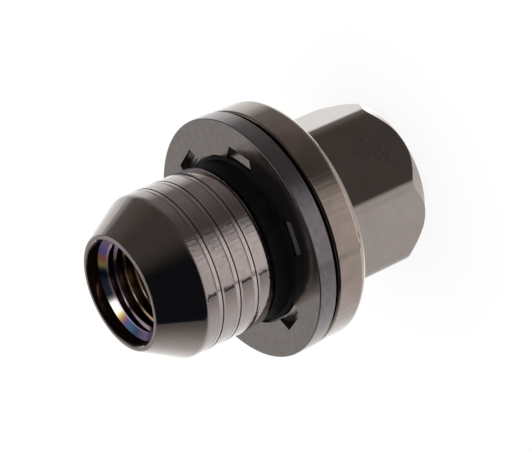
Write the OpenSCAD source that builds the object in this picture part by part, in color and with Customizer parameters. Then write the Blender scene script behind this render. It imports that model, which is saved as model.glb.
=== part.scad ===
// Lug nut with a captive washer
// The nut stands on its hex head, with its axis along +Z and its cone nose up.
// Lengths are millimetres, and the origin is the centre of the head face.

/* [Hex head] */
// Width across the flats of the hexagon
hex_across_flats = 22; // [20:0.5:24]
// Height of the hexagon, from the head face to the flange
hex_height = 15.9; // [13:0.1:24]
// Rounding of the six upright edges
hex_edge_round = 1.9; // [0.4:0.1:2.5]
// How far the crown chamfer starts inside the flats of the hexagon
crown_inset = 0.3; // [0.1:0.1:1.5]
// Angle between the crown chamfer and the axis
crown_angle = 30; // [20:1:45]
// Rounding between the head face and the crown chamfer
crown_round = 1.5; // [0.3:0.1:2]

/* [Flange] */
// Diameter of the fixed flange
flange_diameter = 34.2; // [32:0.1:38]
// Thickness of the fixed flange
flange_thickness = 5; // [4:0.1:7]
// Rounding of the flange's edge on the hexagon's side
flange_rear_round = 1.2; // [0.2:0.1:1.8]
// Rounding of the flange's edge on the washer's side
flange_front_round = 0.35; // [0.1:0.05:0.6]
// Concave rounding where the flange meets the hub
hub_fillet = 0.3; // [0.1:0.05:0.4]
// How far the hub that the washer turns on stays inside the shank's diameter
hub_setback = 0.2; // [0.16:0.02:0.4]

/* [Captive washer] */
// How far the washer stands out past the flange
washer_overhang = 0.1; // [0:0.05:0.5]
// Thickness of the washer
washer_thickness = 3.05; // [2.6:0.05:5]
// Rounding of the washer's outer edge on the wheel's side
washer_front_round = 0.2; // [0.1:0.05:0.7]
// Chamfer of the washer's outer edge on the flange's side
washer_rear_chamfer = 0.4; // [0.1:0.05:0.6]
// Depth of the counterbore that takes the ring's foot
counterbore_depth = 1.3; // [1:0.05:1.7]
// Axial play of the washer to the flange, and to the ring's foot
washer_play = 0.3; // [0.2:0.05:0.4]
// Radial clearance of the washer's bore, so that it passes over the shank
bore_clearance = 0.15; // [0.1:0.01:0.3]
// Angle at which the loose washer lies, from pockets in line with the hexagon's edges
washer_turn = 2; // [0:1:60]

/* [Staked pockets] */
// Number of pockets round the washer's bore
pocket_count = 6; // [3:1:8]
// Radial length of a pocket on the washer's face
pocket_length = 1.75; // [1:0.05:2.5]
// Width of a pocket at its outer end
pocket_outer_width = 4.3; // [2:0.1:5]
// Width of a pocket where it opens into the counterbore
pocket_inner_width = 5.2; // [2.5:0.1:6]
// Greatest depth of a pocket, next to its outer wall
pocket_depth = 1.2; // [0.6:0.05:1.6]
// Depth of a pocket where its slope meets the counterbore
pocket_mouth_depth = 0.5; // [0.2:0.05:0.9]
// Radial length of the flat floor at the foot of the outer wall
pocket_floor = 0.4; // [0.2:0.05:0.6]
// Radial lean of the pocket's outer wall
pocket_wall_lean = 0.55; // [0.1:0.05:0.7]

/* [Retaining ring] */
// How far the ring's foot reaches over the washer's bore
ring_hold = 0.2; // [0.1:0.05:0.4]
// Radial clearance of the ring's foot in the washer's counterbore
ring_clearance = 0.25; // [0.15:0.05:0.5]
// How far the ring's foot stays below the washer's face
ring_foot_setback = 0.25; // [0.1:0.05:0.35]
// How far the ring's sleeve stays inside the shank's diameter
ring_sleeve_setback = 0.2; // [0.16:0.02:0.4]
// Rounding of the ring's edges
ring_edge_round = 0.2; // [0.05:0.05:0.3]
// Radial clearance of the ring on the neck
ring_neck_clearance = 0.05; // [0.02:0.01:0.2]
// End clearance of the ring below the shank's shoulder
ring_end_clearance = 0.1; // [0.05:0.05:0.3]

/* [Neck] */
// Depth of the neck below the shank's surface
neck_depth = 1.1; // [0.8:0.05:1.6]
// Distance from the washer's face to the shank's shoulder
neck_reach = 2.75; // [1.5:0.05:6]

/* [Shank] */
// Diameter of the shank
shank_diameter = 23; // [21:0.1:25]
// Length of the shank, from its shoulder to the cone
shank_length = 11.2; // [10.2:0.1:18]
// Rounding of the shank's shoulder
shoulder_round = 1; // [0.3:0.1:1]

/* [Grooves] */
// Number of grooves round the shank
groove_count = 3; // [1:1:3]
// Distance between the grooves
groove_pitch = 2.85; // [2.2:0.05:3.2]
// Distance from the cone's edge to the first groove
groove_start = 2.6; // [2:0.05:3]
// Depth of a groove
groove_depth = 0.25; // [0.15:0.05:0.5]
// Width of a groove
groove_width = 0.2; // [0.15:0.05:0.4]
// Height of the lip that a groove raises on the hexagon's side
rear_lip_height = 0.02; // [0.005:0.005:0.05]
// Length of the rise to that lip
rear_lip_rise = 0.3; // [0.1:0.05:0.5]
// Height of the lip that a groove raises on the nose's side
front_lip_height = 0.045; // [0.005:0.005:0.08]
// Length of the rise from the groove to that lip
front_lip_rise = 0.5; // [0.2:0.05:0.7]
// Length of the fall from that lip to the shank
front_lip_fall = 0.2; // [0.1:0.05:0.4]

/* [Nose] */
// Angle between the seat cone and the axis
cone_angle = 30; // [25:1:35]
// Diameter at which the cone meets the nose rim
rim_diameter = 16.3; // [15.8:0.1:18]
// Rounding between the shank and the cone
cone_round = 1.5; // [0.5:0.1:2.5]
// Rounding of the nose rim's outer edge
rim_round = 0.3; // [0.1:0.05:0.5]

/* [Stud hole] */
// Nominal thread diameter, at the roots of the nut's thread
thread_diameter = 14; // [12:0.5:14.5]
// Depth of the straight hole, from the nose rim
hole_depth = 31; // [24:0.5:33]
// Angle of the drill point at the end of the hole
drill_point_angle = 118; // [90:1:140]
// Diameter of the plain counterbore in the mouth
mouth_diameter = 14.9; // [14.7:0.1:15.4]
// Depth of the plain counterbore in the mouth
mouth_depth = 1.85; // [1:0.05:3]
// Angle of the countersink that leads into the thread
countersink_angle = 120; // [60:1:140]
// Rounding of the mouth's edge at the rim
mouth_round = 0.15; // [0.05:0.05:0.25]

/* [Hidden] */

// Segments of a full turn, and of one rounded corner in an outline
$fn = 96;
corner_steps = 10;
// How far one solid runs into another that it is joined to or cut from
overlap = 1;
// Angle from the middle of a flat of the hexagon to its edge
hex_half_angle = 180 / 6;

// Radii, from the axis outwards
thread_r = thread_diameter / 2;
mouth_r = mouth_diameter / 2;
rim_r = rim_diameter / 2;
shank_r = shank_diameter / 2;
neck_r = shank_r - neck_depth;
hub_r = shank_r - hub_setback;
washer_bore_r = shank_r + bore_clearance;
ring_sleeve_r = shank_r - ring_sleeve_setback;
ring_foot_r = washer_bore_r + ring_hold;
counterbore_r = ring_foot_r + ring_clearance;
pocket_r = counterbore_r + pocket_length;
flange_r = flange_diameter / 2;
washer_r = flange_r + washer_overhang;
crown_start_r = hex_across_flats / 2 - crown_inset;
hex_corner_r = hex_across_flats / 2 / cos(hex_half_angle);

// Heights, from the head face to the nose rim
flange_z = hex_height;
washer_z = flange_z + flange_thickness + washer_play;
washer_face_z = washer_z + washer_thickness;
lip_z = washer_face_z - counterbore_depth;
hub_z = lip_z + washer_play;
shoulder_z = washer_face_z + neck_reach;
cone_z = shoulder_z + shank_length;
rim_z = cone_z + (shank_r - rim_r) / tan(cone_angle);
mouth_z = rim_z - mouth_depth;
thread_top_z = mouth_z - (mouth_r - thread_r) / tan(countersink_angle / 2);
thread_end_z = rim_z - hole_depth;
drill_tip_z = thread_end_z - thread_r / tan(drill_point_angle / 2);

// Direction from one point of an outline to another
function toward(from, to) = (to - from) / norm(to - from);

// Arc that rounds the corner at b, on the way from a to c
function corner_arc(a, b, c, r) =
    let (
        back = toward(b, a),
        ahead = toward(b, c),
        half = acos(back * ahead) / 2,
        centre = b + toward([0, 0], back + ahead) * r / sin(half),
        first = b + back * r / tan(half) - centre,
        last = b + ahead * r / tan(half) - centre,
        start = atan2(first.y, first.x),
        turn = atan2(first.x * last.y - first.y * last.x, first * last)
    )
    [for (i = [0 : corner_steps])
        centre + r * [cos(start + turn * i / corner_steps), sin(start + turn * i / corner_steps)]];

// Outline with the corners of a list of [radius, height, rounding] rounded
function rounded(corners) =
    let (n = len(corners), flat = [for (c = corners) [c.x, c.y]])
    [for (i = [0 : n - 1]) each
        corners[i].z > 0
            ? corner_arc(flat[(i + n - 1) % n], flat[i], flat[(i + 1) % n], corners[i].z)
            : [flat[i]]];

// Solid turned from an outline of [radius, height, rounding]
module turned(corners) {
    rotate_extrude() polygon(rounded(corners));
}

// Outline of one rolled groove and the low lips on both its sides
function groove(rear_z) =
    let (front_z = rear_z + groove_width, crest_z = front_z + front_lip_rise)
    [
        [shank_r, rear_z - rear_lip_rise, 0],
        [shank_r + rear_lip_height, rear_z, 0],
        [shank_r - groove_depth, rear_z, 0],
        [shank_r - groove_depth, front_z, 0],
        [shank_r, front_z, 0],
        [shank_r + front_lip_height, crest_z, 0],
        [shank_r, crest_z + front_lip_fall, 0]
    ];

// Hexagon with rounded upright edges, run into the flange above it
module hex_prism() {
    edge_centre_r = hex_corner_r - hex_edge_round / cos(hex_half_angle);
    height = hex_height + overlap;
    edge_angles = [for (i = [0 : 5]) hex_half_angle * (2 * i + 1)];
    flats = [for (a = edge_angles, side = [-hex_half_angle, hex_half_angle])
        edge_centre_r * [cos(a), sin(a)] + hex_edge_round * [cos(a + side), sin(a + side)]];
    linear_extrude(height) polygon(flats);
    for (a = edge_angles)
        rotate(a) translate([edge_centre_r, 0, 0]) cylinder(r = hex_edge_round, h = height);
}

// Cone that chamfers the crown of the hexagon
module crown_blank() {
    wide_r = hex_corner_r + overlap;
    turned([
        [0, 0, 0],
        [crown_start_r, 0, crown_round],
        [wide_r, (wide_r - crown_start_r) / tan(crown_angle), 0],
        [wide_r, hex_height + overlap, 0],
        [0, hex_height + overlap, 0]
    ]);
}

// Flange, hub, neck, grooved shank and cone nose in one turned outline
module turned_blank() {
    groove_heights = [for (i = [groove_count - 1 : -1 : 0]) cone_z - groove_start - i * groove_pitch];
    turned([
        [0, flange_z, 0],
        [flange_r, flange_z, flange_rear_round],
        [flange_r, flange_z + flange_thickness, flange_front_round],
        [hub_r, flange_z + flange_thickness, hub_fillet],
        [hub_r, hub_z, 0],
        [neck_r, hub_z, 0],
        [neck_r, shoulder_z, 0],
        [shank_r, shoulder_z, shoulder_round],
        for (z = groove_heights) each groove(z),
        [shank_r, cone_z, cone_round],
        [rim_r, rim_z, rim_round],
        [0, rim_z, 0]
    ]);
}

// Blind hole with its mouth, countersink, straight wall and drill point
module stud_hole() {
    turned([
        [0, drill_tip_z, 0],
        [thread_r, thread_end_z, 0],
        [thread_r, thread_top_z, 0],
        [mouth_r, mouth_z, 0],
        [mouth_r, rim_z - mouth_round, 0],
        [mouth_r + mouth_round, rim_z, 0],
        [mouth_r + mouth_round, rim_z + overlap, 0],
        [0, rim_z + overlap, 0]
    ]);
}

module nut_body() {
    color("#4d4540")
    difference() {
        union() {
            intersection() {
                hex_prism();
                crown_blank();
            }
            turned_blank();
        }
        stud_hole();
    }
}

// One staked pocket on the +X side: a tapered plan cut down to a sloped floor
module pocket() {
    wall_foot_r = pocket_r - pocket_wall_lean;
    top_z = washer_face_z + overlap;
    intersection() {
        translate([0, 0, lip_z])
            linear_extrude(top_z - lip_z)
            polygon([
                [washer_bore_r, -pocket_inner_width / 2],
                [counterbore_r, -pocket_inner_width / 2],
                [pocket_r, -pocket_outer_width / 2],
                [pocket_r, pocket_outer_width / 2],
                [counterbore_r, pocket_inner_width / 2],
                [washer_bore_r, pocket_inner_width / 2]
            ]);
        rotate([90, 0, 0])
            linear_extrude(2 * pocket_inner_width, center = true)
            polygon([
                [washer_bore_r, washer_face_z - pocket_mouth_depth],
                [counterbore_r, washer_face_z - pocket_mouth_depth],
                [wall_foot_r - pocket_floor, washer_face_z - pocket_depth],
                [wall_foot_r, washer_face_z - pocket_depth],
                [pocket_r, washer_face_z],
                [pocket_r, top_z],
                [washer_bore_r, top_z]
            ]);
    }
}

module captive_washer() {
    color("#7d7671")
    difference() {
        turned([
            [washer_bore_r, washer_z, 0],
            [washer_r - washer_rear_chamfer, washer_z, 0],
            [washer_r, washer_z + washer_rear_chamfer, 0],
            [washer_r, washer_face_z, washer_front_round],
            [counterbore_r, washer_face_z, 0],
            [counterbore_r, lip_z, 0],
            [washer_bore_r, lip_z, 0]
        ]);
        for (i = [0 : pocket_count - 1])
            rotate(hex_half_angle + washer_turn + i * 360 / pocket_count) pocket();
    }
}

module retaining_ring() {
    ring_bore_r = neck_r + ring_neck_clearance;
    foot_top_z = washer_face_z - ring_foot_setback;
    ring_top_z = shoulder_z - ring_end_clearance;
    // The rounding leaves a flat on the foot's step
    edge_round = min(ring_edge_round, (ring_foot_r - ring_sleeve_r) * 0.45);
    color("#141414")
    turned([
        [ring_bore_r, hub_z, 0],
        [ring_foot_r, hub_z, 0],
        [ring_foot_r, foot_top_z, edge_round],
        [ring_sleeve_r, foot_top_z, edge_round],
        [ring_sleeve_r, ring_top_z, edge_round],
        [ring_bore_r, ring_top_z, 0]
    ]);
}

nut_body();
captive_washer();
retaining_ring();
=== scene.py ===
import math

import bpy
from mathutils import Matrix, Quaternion, Vector


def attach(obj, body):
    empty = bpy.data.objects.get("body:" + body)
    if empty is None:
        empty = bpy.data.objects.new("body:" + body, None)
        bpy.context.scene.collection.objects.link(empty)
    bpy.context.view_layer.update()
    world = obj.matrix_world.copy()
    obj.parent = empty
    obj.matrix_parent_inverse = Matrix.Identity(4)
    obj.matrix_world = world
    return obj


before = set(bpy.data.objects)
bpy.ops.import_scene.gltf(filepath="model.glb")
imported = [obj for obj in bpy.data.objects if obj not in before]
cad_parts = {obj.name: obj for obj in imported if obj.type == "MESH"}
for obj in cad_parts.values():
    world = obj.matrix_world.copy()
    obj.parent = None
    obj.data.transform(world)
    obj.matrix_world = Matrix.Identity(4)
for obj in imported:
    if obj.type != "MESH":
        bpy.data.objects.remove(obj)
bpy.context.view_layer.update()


# Nut body
# One steel forging with the hex head, flange, neck, grooved shank and cone nose, turned and drilled.
# It is polished and plated in black chrome, a dark mirror with a warm brown-grey tint.
MM = 0.001
NOISE_SPAN = (0.3, 0.7)
CHROME_TINT = (0.268, 0.226, 0.209, 1)
CHROME_SHADE = (0.238, 0.2, 0.186, 1)
CHROME_METAL = 1.0
CHROME_ROUGHNESS = (0.045, 0.085)
CHROME_COAT = 1.0
CHROME_COAT_ROUGHNESS = 0.02
CLOUD_SIZE = 3 * MM
CLOUD_DETAIL = 3
POLISH_SIZE = 0.35 * MM
POLISH_DETAIL = 4
POLISH_DEPTH = 0.0015 * MM
SHANK_TINT = (0.295, 0.248, 0.241, 1)
SHANK_SHADE = (0.264, 0.221, 0.214, 1)
SHANK_START = (27.6 * MM, 28.2 * MM)
SHANK_END = (38.4 * MM, 37.8 * MM)
WAVE_SIZE = 0.6 * MM
WAVE_DETAIL = 1
WAVE_STRETCH = (1, 1, 0.45)
WAVE_DEPTH = 0.016 * MM
FLANGE_TINT = (0.278, 0.218, 0.187, 1)
FLANGE_SHADE = (0.208, 0.16, 0.136, 1)
FLANGE_RADIUS = (13.0 * MM, 13.4 * MM)
PIT_COLOUR = (0.025, 0.021, 0.019, 1)
PIT_SIZE = 0.22 * MM
PIT_DETAIL = 1
PIT_LEVEL = (0.57, 0.7)
PIT_PATCH_CENTRE = Vector((6.1, -9.2, 5.1)) * MM
PIT_PATCH_RADIUS = (5.0 * MM, 0.5 * MM)
BORE_TINT = (0.1, 0.065, 0.045, 1)
BORE_METAL = 0.95
BORE_RADIUS = (7.6 * MM, 7.5 * MM)


def fill(tree, node, sockets):
    """Sets or links a node's sockets, each by its name or its number."""
    for key, value in sockets.items():
        if isinstance(value, bpy.types.NodeSocket):
            tree.links.new(value, node.inputs[key])
        else:
            node.inputs[key].default_value = value


def add_node(tree, kind, sockets=None, **settings):
    """A shader node with its settings made and its sockets filled."""
    node = tree.nodes.new("ShaderNode" + kind)
    for name, value in settings.items():
        setattr(node, name, value)
    fill(tree, node, sockets or {})
    return node


def new_finish(name):
    """A node material, its tree and its shader."""
    finish = bpy.data.materials.new(name)
    finish.use_nodes = True
    return finish, finish.node_tree, finish.node_tree.nodes["Principled BSDF"]


def mapped(tree, stretch=(1, 1, 1), turn=0.0):
    """The piece's own coordinates, stretched, and turned about the nut's axis."""
    place = add_node(tree, "TexCoord").outputs["Object"]
    sockets = {"Vector": place, "Rotation": (0, 0, turn), "Scale": stretch}
    return add_node(tree, "Mapping", sockets).outputs["Vector"]


def grain(tree, size, detail, stretch=(1, 1, 1)):
    """Noise on the piece's own coordinates, with features of a size in metres."""
    sockets = {"Vector": mapped(tree, stretch), "Scale": 1 / size, "Detail": detail}
    return add_node(tree, "TexNoise", sockets).outputs["Fac"]


def from_axis(tree):
    """The distance from the nut's axis in metres."""
    flat = mapped(tree, stretch=(1, 1, 0))
    return add_node(tree, "VectorMath", {0: flat}, operation="LENGTH").outputs["Value"]


def from_floor(tree):
    """The height over the head face in metres."""
    return add_node(tree, "SeparateXYZ", {"Vector": mapped(tree)}).outputs["Z"]


def spread(tree, factor, levels=(0, 1), span=NOISE_SPAN, blend="LINEAR"):
    """A number that runs from one level to the other as the factor crosses the span."""
    start, end = span
    low, high = levels
    sockets = {"Value": factor, "From Min": start, "From Max": end, "To Min": low, "To Max": high}
    return add_node(tree, "MapRange", sockets, interpolation_type=blend).outputs["Result"]


def tint(tree, factor, first, second):
    """A colour that runs from the first, socket 6, to the second, socket 7, with the factor."""
    sockets = {0: factor, 6: first, 7: second}
    return add_node(tree, "Mix", sockets, data_type="RGBA").outputs[2]


def calculate(tree, operation, *values):
    """One Math node on numbers or sockets."""
    return add_node(tree, "Math", dict(enumerate(values)), operation=operation).outputs["Value"]


def times(tree, product, *factors):
    """All the factors multiplied."""
    for factor in factors:
        product = calculate(tree, "MULTIPLY", product, factor)
    return product


def relief(tree, *layers):
    """Bumps on one another, each from a height and its depth in metres."""
    below = {}
    for height, depth in layers:
        bump = add_node(tree, "Bump", {**below, "Height": height, "Distance": depth})
        below["Normal"] = bump.outputs["Normal"]
    return below["Normal"]


chrome, tree, shader = new_finish("black_chrome_plating")
cloud = spread(tree, grain(tree, CLOUD_SIZE, CLOUD_DETAIL))
polish = grain(tree, POLISH_SIZE, POLISH_DETAIL)
over_shoulder = spread(tree, from_floor(tree), span=SHANK_START)
under_cone = spread(tree, from_floor(tree), span=SHANK_END)
on_shank = times(tree, over_shoulder, under_cone)
on_flange = spread(tree, from_axis(tree), span=FLANGE_RADIUS)
in_bore = spread(tree, from_axis(tree), span=BORE_RADIUS)
off_patch = add_node(tree, "VectorMath", {0: mapped(tree), 1: PIT_PATCH_CENTRE}, operation="DISTANCE")
pit_patch = spread(tree, off_patch.outputs["Value"], span=PIT_PATCH_RADIUS)
pit_spots = spread(tree, grain(tree, PIT_SIZE, PIT_DETAIL), span=PIT_LEVEL)
head_colour = tint(tree, cloud, CHROME_TINT, CHROME_SHADE)
shank_colour = tint(tree, cloud, SHANK_TINT, SHANK_SHADE)
flange_colour = tint(tree, cloud, FLANGE_TINT, FLANGE_SHADE)
turned = tint(tree, on_shank, head_colour, shank_colour)
plated = tint(tree, on_flange, turned, flange_colour)
pitted = tint(tree, times(tree, pit_spots, pit_patch), plated, PIT_COLOUR)
wave = times(tree, grain(tree, WAVE_SIZE, WAVE_DETAIL, WAVE_STRETCH), on_shank)
fill(tree, shader, {
    "Base Color": tint(tree, in_bore, pitted, BORE_TINT),
    "Metallic": spread(tree, in_bore, (CHROME_METAL, BORE_METAL), (0, 1)),
    "Roughness": spread(tree, polish, CHROME_ROUGHNESS),
    "Normal": relief(tree, (wave, WAVE_DEPTH), (polish, POLISH_DEPTH)),
    "Coat Weight": CHROME_COAT,
    "Coat Roughness": CHROME_COAT_ROUGHNESS,
})
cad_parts["nut_body"].data.materials[0] = chrome


# Stud thread
# The tapped thread of the stud hole, which is cut in the nut's own steel with a countersunk start.
# The plating is thin in here, so it shows the straw, purple and blue tints of a thin film. The bands
# round the countersink are partly this tint and partly painted reflection, and the silver band is a
# painted highlight.
PITCH = 1.5 * MM
CREST_RADIUS = 6.19 * MM
ROOT_RADIUS = 6.94 * MM
CREST_FLAT = PITCH / 4
CREST_EDGE = 0.08 * MM
ROOT_FLAT = PITCH / 8
FLANK = (PITCH - CREST_FLAT - ROOT_FLAT) / 2
THREAD_STEPS = 128
LINER_RADIUS = 7.44 * MM
THREAD_END = 13.02 * MM
MOUTH_FLOOR = 42.165 * MM
COUNTERSINK_HALF_ANGLE = math.radians(60)
TAP_OVERRUN = 2 * MM
TAP_LOW_TRIM = 1.0 * PITCH
TAP_HIGH_TRIM = 0.5 * PITCH
MERGE_DISTANCE = 0.001 * MM
SMOOTH_ANGLE = math.radians(30)
PLUM = (0.14, 0.09, 0.15, 1)
BLUE = (0.12, 0.1, 0.33, 1)
COPPER = (0.45, 0.18, 0.07, 1)
STRAW = (0.6, 0.48, 0.2, 1)
TEAL = (0.055, 0.11, 0.14, 1)
# Painted highlight: the silver band is put where the highlight sits on the countersink.
SILVER_PAINTED_HIGHLIGHT = (0.7, 0.685, 0.66, 1)
INK = (0.04, 0.05, 0.075, 1)
# Colours by angle round the countersink: partly thin-film tint, partly painted reflection.
FILM_AND_REFLECTION_BANDS = [
    (28, PLUM), (45, BLUE), (57, COPPER), (64, STRAW), (71, INK), (101, INK), (110, SILVER_PAINTED_HIGHLIGHT),
    (120, SILVER_PAINTED_HIGHLIGHT), (127, STRAW), (132, COPPER), (137, PLUM), (146, TEAL), (157, INK), (175, PLUM),
]
FILM_MIDDLE = math.radians(105)
FILM_METAL = 1.0
FILM_ROUGHNESS = 0.12
HALF_TURN = 0.5
LEAD_IN = (41.55 * MM, 41.65 * MM)
FIRST_TURN = (39.2 * MM, 39.5 * MM)
THREAD_LILAC = (0.43, 0.33, 0.41, 1)
THREAD_GOLD = (0.48, 0.35, 0.21, 1)
THREAD_WEAR = (0.5, 0.9)
WEAR_SIZE = 2 * MM
WEAR_DETAIL = 3


def name_piece(name):
    """The primitive just added, named, with its place put into its mesh."""
    piece = bpy.context.object
    piece.name = name
    piece.data.name = name
    bpy.ops.object.transform_apply(location=True)
    return piece


def cut_away(piece, tool):
    """Cuts a tool piece out of a piece and throws the tool away."""
    cut = piece.modifiers.new("cut", "BOOLEAN")
    cut.operation = "DIFFERENCE"
    cut.solver = "EXACT"
    cut.object = tool
    bpy.context.view_layer.objects.active = piece
    bpy.ops.object.modifier_apply(modifier=cut.name)
    bpy.data.objects.remove(tool)


# The tap: one pitch of its profile, drawn by extruding a point and wound into a screw
tap_start = THREAD_END - TAP_OVERRUN
tap_turns = math.ceil((MOUTH_FLOOR - tap_start + TAP_OVERRUN) / PITCH)
tap_low = tap_start + TAP_LOW_TRIM
tap_high = tap_start + tap_turns * PITCH - TAP_HIGH_TRIM
flank_depth = ROOT_RADIUS - CREST_RADIUS - CREST_EDGE
flank_rise = FLANK - CREST_EDGE / 2
profile = [
    (0, CREST_FLAT - CREST_EDGE),
    (CREST_EDGE, CREST_EDGE),
    (flank_depth, flank_rise),
    (0, ROOT_FLAT),
    (-flank_depth, flank_rise),
    (-CREST_EDGE, CREST_EDGE),
]
bpy.ops.object.select_all(action="DESELECT")
bpy.ops.mesh.primitive_plane_add(size=PITCH)
tap = name_piece("tap")
bpy.ops.object.mode_set(mode="EDIT")
bpy.ops.mesh.select_all(action="SELECT")
bpy.ops.mesh.merge(type="CENTER")
bpy.ops.transform.translate(value=(CREST_RADIUS, 0, tap_start))
for outward, upward in profile:
    bpy.ops.mesh.extrude_region_move(TRANSFORM_OT_translate={"value": (outward, 0, upward)})
bpy.ops.object.mode_set(mode="OBJECT")
winding = tap.modifiers.new("winding", "SCREW")
winding.axis = "Z"
winding.screw_offset = PITCH
winding.iterations = tap_turns
winding.steps = THREAD_STEPS
winding.render_steps = THREAD_STEPS
bpy.ops.object.modifier_apply(modifier=winding.name)
bpy.ops.object.mode_set(mode="EDIT")
bpy.ops.mesh.select_all(action="SELECT")
bpy.ops.mesh.remove_doubles(threshold=MERGE_DISTANCE)
bpy.ops.mesh.bisect(plane_co=(0, 0, tap_low), plane_no=(0, 0, 1), clear_inner=True, use_fill=True)
bpy.ops.mesh.select_all(action="SELECT")
bpy.ops.mesh.bisect(plane_co=(0, 0, tap_high), plane_no=(0, 0, 1), clear_outer=True, use_fill=True)
bpy.ops.mesh.select_all(action="SELECT")
bpy.ops.mesh.normals_make_consistent(inside=False)
bpy.ops.object.mode_set(mode="OBJECT")

# The countersink: a cone that is as wide as the wall at the mouth's floor, halfway up its height
sink_height = LINER_RADIUS / math.tan(COUNTERSINK_HALF_ANGLE)
bpy.ops.object.select_all(action="DESELECT")
bpy.ops.mesh.primitive_cone_add(
    vertices=THREAD_STEPS, radius1=0, radius2=2 * LINER_RADIUS, depth=2 * sink_height,
    location=(0, 0, MOUTH_FLOOR))
sink = name_piece("sink")

# The threaded wall, cut by both tools
liner_height = MOUTH_FLOOR - THREAD_END
bpy.ops.object.select_all(action="DESELECT")
bpy.ops.mesh.primitive_cylinder_add(
    vertices=THREAD_STEPS, radius=LINER_RADIUS, depth=liner_height,
    location=(0, 0, THREAD_END + liner_height / 2))
stud_thread = name_piece("stud_thread")
cut_away(stud_thread, tap)
cut_away(stud_thread, sink)
bpy.ops.object.select_all(action="DESELECT")
stud_thread.select_set(True)
bpy.ops.object.shade_smooth_by_angle(angle=SMOOTH_ANGLE)

# The film: bands round the countersink, partly thin-film tint and partly painted reflection, with a
# painted highlight in the silver band; they wear off on the thread
film, tree, shader = new_finish("thread_film_painted_reflection")
around = mapped(tree, turn=-FILM_MIDDLE)
turn = add_node(tree, "TexGradient", {"Vector": around}, gradient_type="RADIAL").outputs["Fac"]
film_reflection_bands = add_node(tree, "ValToRGB", {"Fac": turn})
stops = film_reflection_bands.color_ramp.elements
for angle, colour in FILM_AND_REFLECTION_BANDS:
    stops.new(HALF_TURN + (math.radians(angle) - FILM_MIDDLE) / math.tau).color = colour
stops.remove(stops[0])
stops.remove(stops[-1])
film_and_reflection_colour = film_reflection_bands.outputs["Color"]
in_lead = spread(tree, from_floor(tree), span=LEAD_IN)
in_first_turn = spread(tree, from_floor(tree), span=FIRST_TURN)
wear = spread(tree, grain(tree, WEAR_SIZE, WEAR_DETAIL), THREAD_WEAR)
turn_colour = tint(tree, in_first_turn, THREAD_GOLD, THREAD_LILAC)
thread_colour = tint(tree, wear, film_and_reflection_colour, turn_colour)
fill(tree, shader, {
    "Base Color": tint(tree, in_lead, thread_colour, film_and_reflection_colour),
    "Metallic": FILM_METAL,
    "Roughness": FILM_ROUGHNESS,
})
stud_thread.data.materials.append(film)
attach(stud_thread, "nut")


# Captive washer
# A turned steel washer, loose on the nut's hub, with six staked pockets round its bore.
# Its satin grey coat is darker on the rim, and the punch has bared the steel in the pockets.
WASHER_TINT = (0.318, 0.29, 0.276, 1)
WASHER_SHADE = (0.258, 0.235, 0.223, 1)
WASHER_METAL = 0.98
WASHER_ROUGHNESS = (0.1, 0.18)
MOTTLE_SIZE = 0.9 * MM
MOTTLE_DETAIL = 5
GRAIN_SIZE = 0.16 * MM
GRAIN_DETAIL = 4
GRAIN_DEPTH = 0.004 * MM
RIM_TINT = (0.088, 0.074, 0.081, 1)
RIM_SPARK = (0.132, 0.112, 0.123, 1)
RIM_RADIUS = (17.02 * MM, 17.1 * MM)
RIM_ROUGHNESS = 0.3
RIM_COAT_ROUGHNESS = 0.15
RIM_STREAK_SIZE = 1.2 * MM
RIM_STREAK_DETAIL = 4
RIM_STREAK_STRETCH = (1, 1, 2.5)
PEENED_TINT = (0.4, 0.37, 0.35, 1)
PEENED_RADIUS = (14.2 * MM, 14.0 * MM)
PEENED_HEIGHT = (24.0 * MM, 23.9 * MM)
PEENED_SLOPE = (0.55, 0.65)
PEENED_ROUGHNESS = 0.3


def most(tree, top, *others):
    """The highest of some levels."""
    for other in others:
        top = calculate(tree, "MAXIMUM", top, other)
    return top


satin, tree, shader = new_finish("washer_satin_steel")
mottle = spread(tree, grain(tree, MOTTLE_SIZE, MOTTLE_DETAIL))
fine = grain(tree, GRAIN_SIZE, GRAIN_DETAIL)
streak = spread(tree, grain(tree, RIM_STREAK_SIZE, RIM_STREAK_DETAIL, RIM_STREAK_STRETCH))
on_rim = spread(tree, from_axis(tree), span=RIM_RADIUS)
facing = add_node(tree, "TexCoord").outputs["Normal"]
facing_up = add_node(tree, "SeparateXYZ", {"Vector": facing}).outputs["Z"]
peened = times(
    tree,
    spread(tree, from_floor(tree), span=PEENED_HEIGHT),
    spread(tree, facing_up, span=PEENED_SLOPE),
    spread(tree, from_axis(tree), span=PEENED_RADIUS))
face_colour = tint(tree, mottle, WASHER_TINT, WASHER_SHADE)
rim_colour = tint(tree, streak, RIM_TINT, RIM_SPARK)
coated = tint(tree, on_rim, face_colour, rim_colour)
roughness = most(
    tree,
    spread(tree, fine, WASHER_ROUGHNESS),
    spread(tree, on_rim, (0, RIM_ROUGHNESS), (0, 1)),
    spread(tree, peened, (0, PEENED_ROUGHNESS), (0, 1)))
fill(tree, shader, {
    "Base Color": tint(tree, peened, coated, PEENED_TINT),
    "Metallic": WASHER_METAL,
    "Roughness": roughness,
    "Normal": relief(tree, (fine, GRAIN_DEPTH)),
    "Coat Weight": on_rim,
    "Coat Roughness": RIM_COAT_ROUGHNESS,
})
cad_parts["captive_washer"].data.materials[0] = satin


# Retaining ring
# A moulded black rubber ring, stretched over the cone nose into the neck behind the shank.
# Its wide foot sits in the washer's counterbore and keeps the washer on the nut.
RUBBER_TINT = (0.003, 0.003, 0.0035, 1)
RUBBER_BLOOM = (0.006, 0.006, 0.007, 1)
RUBBER_SPECULAR = 0.15
RUBBER_ROUGHNESS = (0.5, 0.65)
BLOOM_SIZE = 1.5 * MM
BLOOM_DETAIL = 3
SKIN_SIZE = 0.2 * MM
SKIN_DETAIL = 2
SKIN_DEPTH = 0.01 * MM

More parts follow.
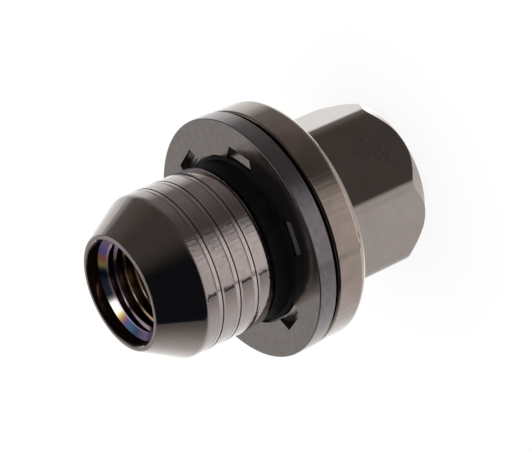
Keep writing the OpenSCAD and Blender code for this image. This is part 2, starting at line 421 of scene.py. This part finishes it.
rubber, tree, shader = new_finish("ring_black_rubber")
bloom = spread(tree, grain(tree, BLOOM_SIZE, BLOOM_DETAIL))
skin = grain(tree, SKIN_SIZE, SKIN_DETAIL)
fill(tree, shader, {
    "Base Color": tint(tree, bloom, RUBBER_TINT, RUBBER_BLOOM),
    "Specular IOR Level": RUBBER_SPECULAR,
    "Roughness": spread(tree, skin, RUBBER_ROUGHNESS),
    "Normal": relief(tree, (skin, SKIN_DEPTH)),
})
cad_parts["retaining_ring"].data.materials[0] = rubber


# Camera
# A long lens that looks down on the nose from the front.
# It is rolled on its side, so that the standing nut lies across the picture.
CAMERA_AZIMUTH = math.radians(14.2)
CAMERA_ELEVATION = math.radians(30.63)
CAMERA_ROLL = math.radians(-114.44)
CAMERA_DISTANCE = 315 * MM
CAMERA_TARGET = Vector((0.47, -0.854, 20.05)) * MM
SENSOR_WIDTH = 36
LENS = 157.86
UP = Vector((0, 0, 1))


def bearing(turn):
    """The level direction at a turn from the side where the camera stands."""
    angle = CAMERA_AZIMUTH - math.radians(90) + turn
    return Vector((math.cos(angle), math.sin(angle), 0))


toward_camera = bearing(0) * math.cos(CAMERA_ELEVATION) + UP * math.sin(CAMERA_ELEVATION)
lens_data = bpy.data.cameras.new("camera")
lens_data.sensor_width = SENSOR_WIDTH
lens_data.lens = LENS
camera = bpy.data.objects.new("camera", lens_data)
bpy.context.scene.collection.objects.link(camera)
camera.location = CAMERA_TARGET + CAMERA_DISTANCE * toward_camera
camera.rotation_mode = "QUATERNION"
aim = (-toward_camera).to_track_quat("-Z", "Y")
camera.rotation_quaternion = aim @ Quaternion(UP, CAMERA_ROLL)
bpy.context.scene.camera = camera
picture_right = camera.rotation_quaternion @ Vector((1, 0, 0))
picture_up = camera.rotation_quaternion @ Vector((0, 1, 0))


# Floor
# A sheet of matt white paper under the nut, which keeps the nut's soft shadow.
# The camera sees its own white, and the plating shows the tent in its place.
FLOOR_SIZE = 8
FLOOR_COLOUR = (0.14, 0.14, 0.14, 1)
FLOOR_ROUGHNESS = 1.0
FLOOR_SPECULAR = 0.0
FLOOR_WHITE = 0.88
WHITE = (1, 1, 1, 1)

bpy.ops.object.select_all(action="DESELECT")
bpy.ops.mesh.primitive_plane_add(size=FLOOR_SIZE)
floor = bpy.context.object
floor.name = "floor"
floor.visible_glossy = False
paper, tree, shader = new_finish("floor_paper")
seen = add_node(tree, "LightPath").outputs["Is Camera Ray"]
fill(tree, shader, {
    "Base Color": FLOOR_COLOUR,
    "Roughness": FLOOR_ROUGHNESS,
    "Specular IOR Level": FLOOR_SPECULAR,
    "Emission Color": WHITE,
    "Emission Strength": spread(tree, seen, (0, FLOOR_WHITE), (0, 1)),
})
floor.data.materials.append(paper)


# Tent
# A white tent round the nut, open to a dark room behind the camera. Its parts show in mirror
# finishes alone: the camera sees plain white, and all other light is an even fill.
FILL_LEVEL = 0.9
TENT_COLOUR = (1, 0.985, 0.965, 1)
ROOM_COLOUR = (1, 0.92, 0.87, 1)
NIGHT_COLOUR = (0.75, 0.9, 1.3, 1)
NIGHT_HEIGHT = (0, 0.25)
TENT_LIGHT = (0.03, 0.2)

world = bpy.data.worlds.new("studio")
bpy.context.scene.world = world
world.use_nodes = True
tree = world.node_tree
ray = add_node(tree, "LightPath").outputs


def along(tree, direction):
    """How far a ray runs along a fixed direction, from -1 to 1."""
    way = add_node(tree, "TexCoord").outputs["Generated"]
    dot = add_node(tree, "VectorMath", {0: way, 1: direction}, operation="DOT_PRODUCT")
    return dot.outputs["Value"]


def ramp(tree, value, span=(0, 1), levels=(0, 1)):
    """A soft step from one level to the other as the value crosses the span."""
    return spread(tree, value, levels, span, blend="SMOOTHSTEP")


# How far a ray runs towards the camera, up and right in the picture, and to the floor.
# Each part of the tent is placed by spans of these, from where it starts to where it is full.
depth = along(tree, toward_camera)
height = along(tree, picture_up)
side = along(tree, picture_right)
down = along(tree, -UP)

# The sweep behind the nut, which bulges forward where the flange looks
BULGE_TOP = (0.505, 0.535)
BULGE_FOOT = (0.62, 0.57)
SWEEP_BULGE = 0.06
SWEEP_DEPTH = (-0.3, -0.76)

bulge = times(tree, ramp(tree, down, BULGE_TOP), ramp(tree, down, BULGE_FOOT))
sweep = ramp(tree, calculate(tree, "MULTIPLY_ADD", bulge, SWEEP_BULGE, depth), SWEEP_DEPTH)

# The table, brighter towards its far end
TABLE_DEPTH = (0.22, -0.72)
TABLE_FALL = 0.8
TABLE_LEVEL = (0.25, 1.0)
TABLE_EDGE = (0.28, 0.22)
TABLE_HEIGHT = (0.1, -0.25)
TABLE_SIDE = (-0.85, -0.3)
TABLE_SIDE_LEVEL = (0.64, 0.9)

table_run = calculate(tree, "POWER", ramp(tree, depth, TABLE_DEPTH), TABLE_FALL)
table = times(
    tree,
    spread(tree, table_run, TABLE_LEVEL, (0, 1)),
    ramp(tree, depth, TABLE_EDGE),
    ramp(tree, height, TABLE_HEIGHT),
    ramp(tree, side, TABLE_SIDE, TABLE_SIDE_LEVEL))

# The wall beside the nut, with two rows of blind slats along its edge
WALL_TURN = math.radians(23)
WALL_EDGE = (-0.26, 0.44)
WALL_TOP = (-0.05, 0.2)
WALL_FOOT = (0.62, 1.0)
WALL_FOOT_SHIFT = 0.5
WALL_BULGE = -0.12
BLIND_MIDDLE = 0.18
BLIND_REACH = (0.52, 0.12)
BLIND_LEVEL = 0.14
BLIND_FOOT = (0.535, 0.505)
BLIND_FOOT_SHARE = 0.35
SLAT_RUNS = (60, 97.8)

off_wall = along(tree, bearing(WALL_TURN).cross(UP))
wall_foot = calculate(tree, "ADD", off_wall, ramp(tree, down, WALL_FOOT, (0, WALL_FOOT_SHIFT)))
wall_line = calculate(tree, "MULTIPLY_ADD", bulge, WALL_BULGE, wall_foot)
off_blind = calculate(tree, "ABSOLUTE", calculate(tree, "SUBTRACT", wall_line, BLIND_MIDDLE))
slats = [calculate(tree, "SINE", times(tree, off_wall, run)) for run in SLAT_RUNS]
blind = times(
    tree,
    calculate(tree, "ADD", *slats),
    ramp(tree, off_blind, BLIND_REACH, (0, BLIND_LEVEL)),
    ramp(tree, down, BLIND_FOOT, (BLIND_FOOT_SHARE, 1)))
wall_lit = calculate(tree, "ADD", ramp(tree, wall_line, WALL_EDGE), blind)
wall = times(tree, wall_lit, ramp(tree, down, WALL_TOP))

# All three together, hotter low down and weaker again towards the foot
HEAT_TOP = (0.56, 0.64)
HEAT_TOP_LEVEL = (0.96, 1.5)
HEAT_FOOT = (0.76, 0.95)
HEAT_FOOT_LEVEL = (1.0, 0.65)

bright = most(tree, sweep, table, wall)
hot = times(
    tree,
    bright,
    ramp(tree, down, HEAT_TOP, HEAT_TOP_LEVEL),
    ramp(tree, down, HEAT_FOOT, HEAT_FOOT_LEVEL))

# The dark room, with a window on the left
ROOM_HEIGHT = (0, 0.6)
ROOM_LEVEL = (0.016, 0.13)
ROOM_FOOT = (0, 0.45)
ROOM_FOOT_LEVEL = (0, 0.015)
ROOM_DEPTH = (0.37, -0.3)
ROOM_DEPTH_LEVEL = (0, 0.18)
ROOM_TOP = (-0.2, 0.3)
ROOM_TOP_SHARE = (0.4, 1.0)
WINDOW_SIDE = (-0.84, -0.95)
WINDOW_HEIGHT = (-0.35, -0.1)

room_high = ramp(tree, height, ROOM_HEIGHT, ROOM_LEVEL)
room_low = ramp(tree, down, ROOM_FOOT, ROOM_FOOT_LEVEL)
room_front = calculate(tree, "ADD", room_high, room_low)
room_back = times(
    tree,
    ramp(tree, depth, ROOM_DEPTH, ROOM_DEPTH_LEVEL),
    ramp(tree, down, ROOM_TOP, ROOM_TOP_SHARE))
room = calculate(tree, "ADD", room_front, room_back)
window = times(tree, ramp(tree, side, WINDOW_SIDE), ramp(tree, height, WINDOW_HEIGHT))

# A lamp over the nose and its glow, which the thread and the washer's pockets show
LAMP_TURN = math.radians(90)
LAMP_TILT = math.radians(12)
LAMP_SPREAD = (0.972, 0.994)
LAMP_LEVEL = 1.8
GLOW_SPREAD = (0.9, 0.98)
GLOW_LEVEL = 0.3

lamp_way = bearing(LAMP_TURN) * math.sin(LAMP_TILT) + UP * math.cos(LAMP_TILT)
lamp = ramp(tree, along(tree, lamp_way), LAMP_SPREAD, (0, LAMP_LEVEL))
glow = ramp(tree, along(tree, UP), GLOW_SPREAD, (0, GLOW_LEVEL))
over_nose = most(tree, lamp, glow)
open_tent = most(tree, hot, room, window, over_nose)

# The seam of the wall: a thin dark line, which shows best in the shank
SEAM_TURN = math.radians(-55)
SEAM_WIDTH = 0.065
SEAM_CORE = SEAM_WIDTH / 3
SEAM_LEVEL = 0.12
SEAM_AHEAD = (0.2, 0.4)
SEAM_TOP = (0.1, 0.3)
SEAM_FOOT = (0.535, 0.505)
SEAM_FOOT_SHARE = 0.2
SEAM_LIP = (0.58, 0.62)
SEAM_LIP_SHARE = 0.4

seam_side = along(tree, bearing(SEAM_TURN).cross(UP))
seam_ahead = ramp(tree, along(tree, bearing(SEAM_TURN)), SEAM_AHEAD)
seam_top = ramp(tree, down, SEAM_TOP)
in_shank = ramp(tree, down, SEAM_FOOT, (SEAM_FOOT_SHARE, 1))
in_lips = ramp(tree, down, SEAM_LIP, (0, SEAM_LIP_SHARE))
seam = times(
    tree,
    ramp(tree, calculate(tree, "ABSOLUTE", seam_side), (SEAM_WIDTH, SEAM_CORE)),
    seam_top,
    calculate(tree, "ADD", in_shank, in_lips))

# The shade past the seam, and the brighter stretch of wall before it
SHADE_EDGE = (-0.01, 0.01)
SHADE_END = (0.75, 0)
SHADE_DEPTH = 0.5
SHADE_FOOT = (0.525, 0.508)
FLARE_NEAR = (-0.02, -0.15)
FLARE_FAR = (-0.85, -0.6)
FLARE_TOP = (0.482, 0.508)
FLARE_TOP_SHARE = 0.25
FLARE_FOOT = (0.535, 0.512)
FLARE_LEVEL = 1.35

shade = times(
    tree,
    ramp(tree, seam_side, SHADE_EDGE),
    ramp(tree, seam_side, SHADE_END, (0, SHADE_DEPTH)),
    seam_top,
    ramp(tree, down, SHADE_FOOT))
flare = times(
    tree,
    ramp(tree, seam_side, FLARE_NEAR),
    ramp(tree, seam_side, FLARE_FAR),
    ramp(tree, down, FLARE_TOP, (FLARE_TOP_SHARE, 1)),
    ramp(tree, down, FLARE_FOOT),
    seam_ahead)
shut = times(tree, most(tree, seam, shade), seam_ahead)
tent = times(
    tree,
    open_tent,
    ramp(tree, flare, levels=(1, FLARE_LEVEL)),
    ramp(tree, shut, levels=(1, SEAM_LEVEL)))

# What each kind of ray sees: an even white, socket 2, or the tent, socket 3, for a mirrored one
shown = most(tree, ray["Is Camera Ray"], ray["Is Transmission Ray"])
plain = ramp(tree, shown, levels=(FILL_LEVEL, 1))
strength = add_node(tree, "Mix", {0: ray["Is Glossy Ray"], 2: plain, 3: tent}, data_type="FLOAT")
dusk = tint(tree, ramp(tree, height, NIGHT_HEIGHT), NIGHT_COLOUR, ROOM_COLOUR)
lit = ramp(tree, most(tree, bright, over_nose), TENT_LIGHT)
daylight = tint(tree, lit, dusk, TENT_COLOUR)
fill(tree, tree.nodes["Background"], {
    "Color": tint(tree, ray["Is Glossy Ray"], WHITE, daylight),
    "Strength": strength.outputs[0],
})


# Key lamp
# A large round lamp high over the nut, which gives it a soft shadow on the floor.
# It is hidden from the plating, where the tent shows instead.
KEY_POWER = 1.5
KEY_SIZE = 1.0
KEY_DISTANCE = 0.9
KEY_DIRECTION = Vector((0.25, 0.35, 1)).normalized()

key_data = bpy.data.lights.new("key", "AREA")
key_data.shape = "DISK"
key_data.size = KEY_SIZE
key_data.energy = KEY_POWER
key = bpy.data.objects.new("key", key_data)
bpy.context.scene.collection.objects.link(key)
key.location = KEY_DIRECTION * KEY_DISTANCE
key.rotation_mode = "QUATERNION"
key.rotation_quaternion = (-KEY_DIRECTION).to_track_quat("-Z", "Y")
key.visible_glossy = False

bpy.context.scene.view_settings.view_transform = "Standard"
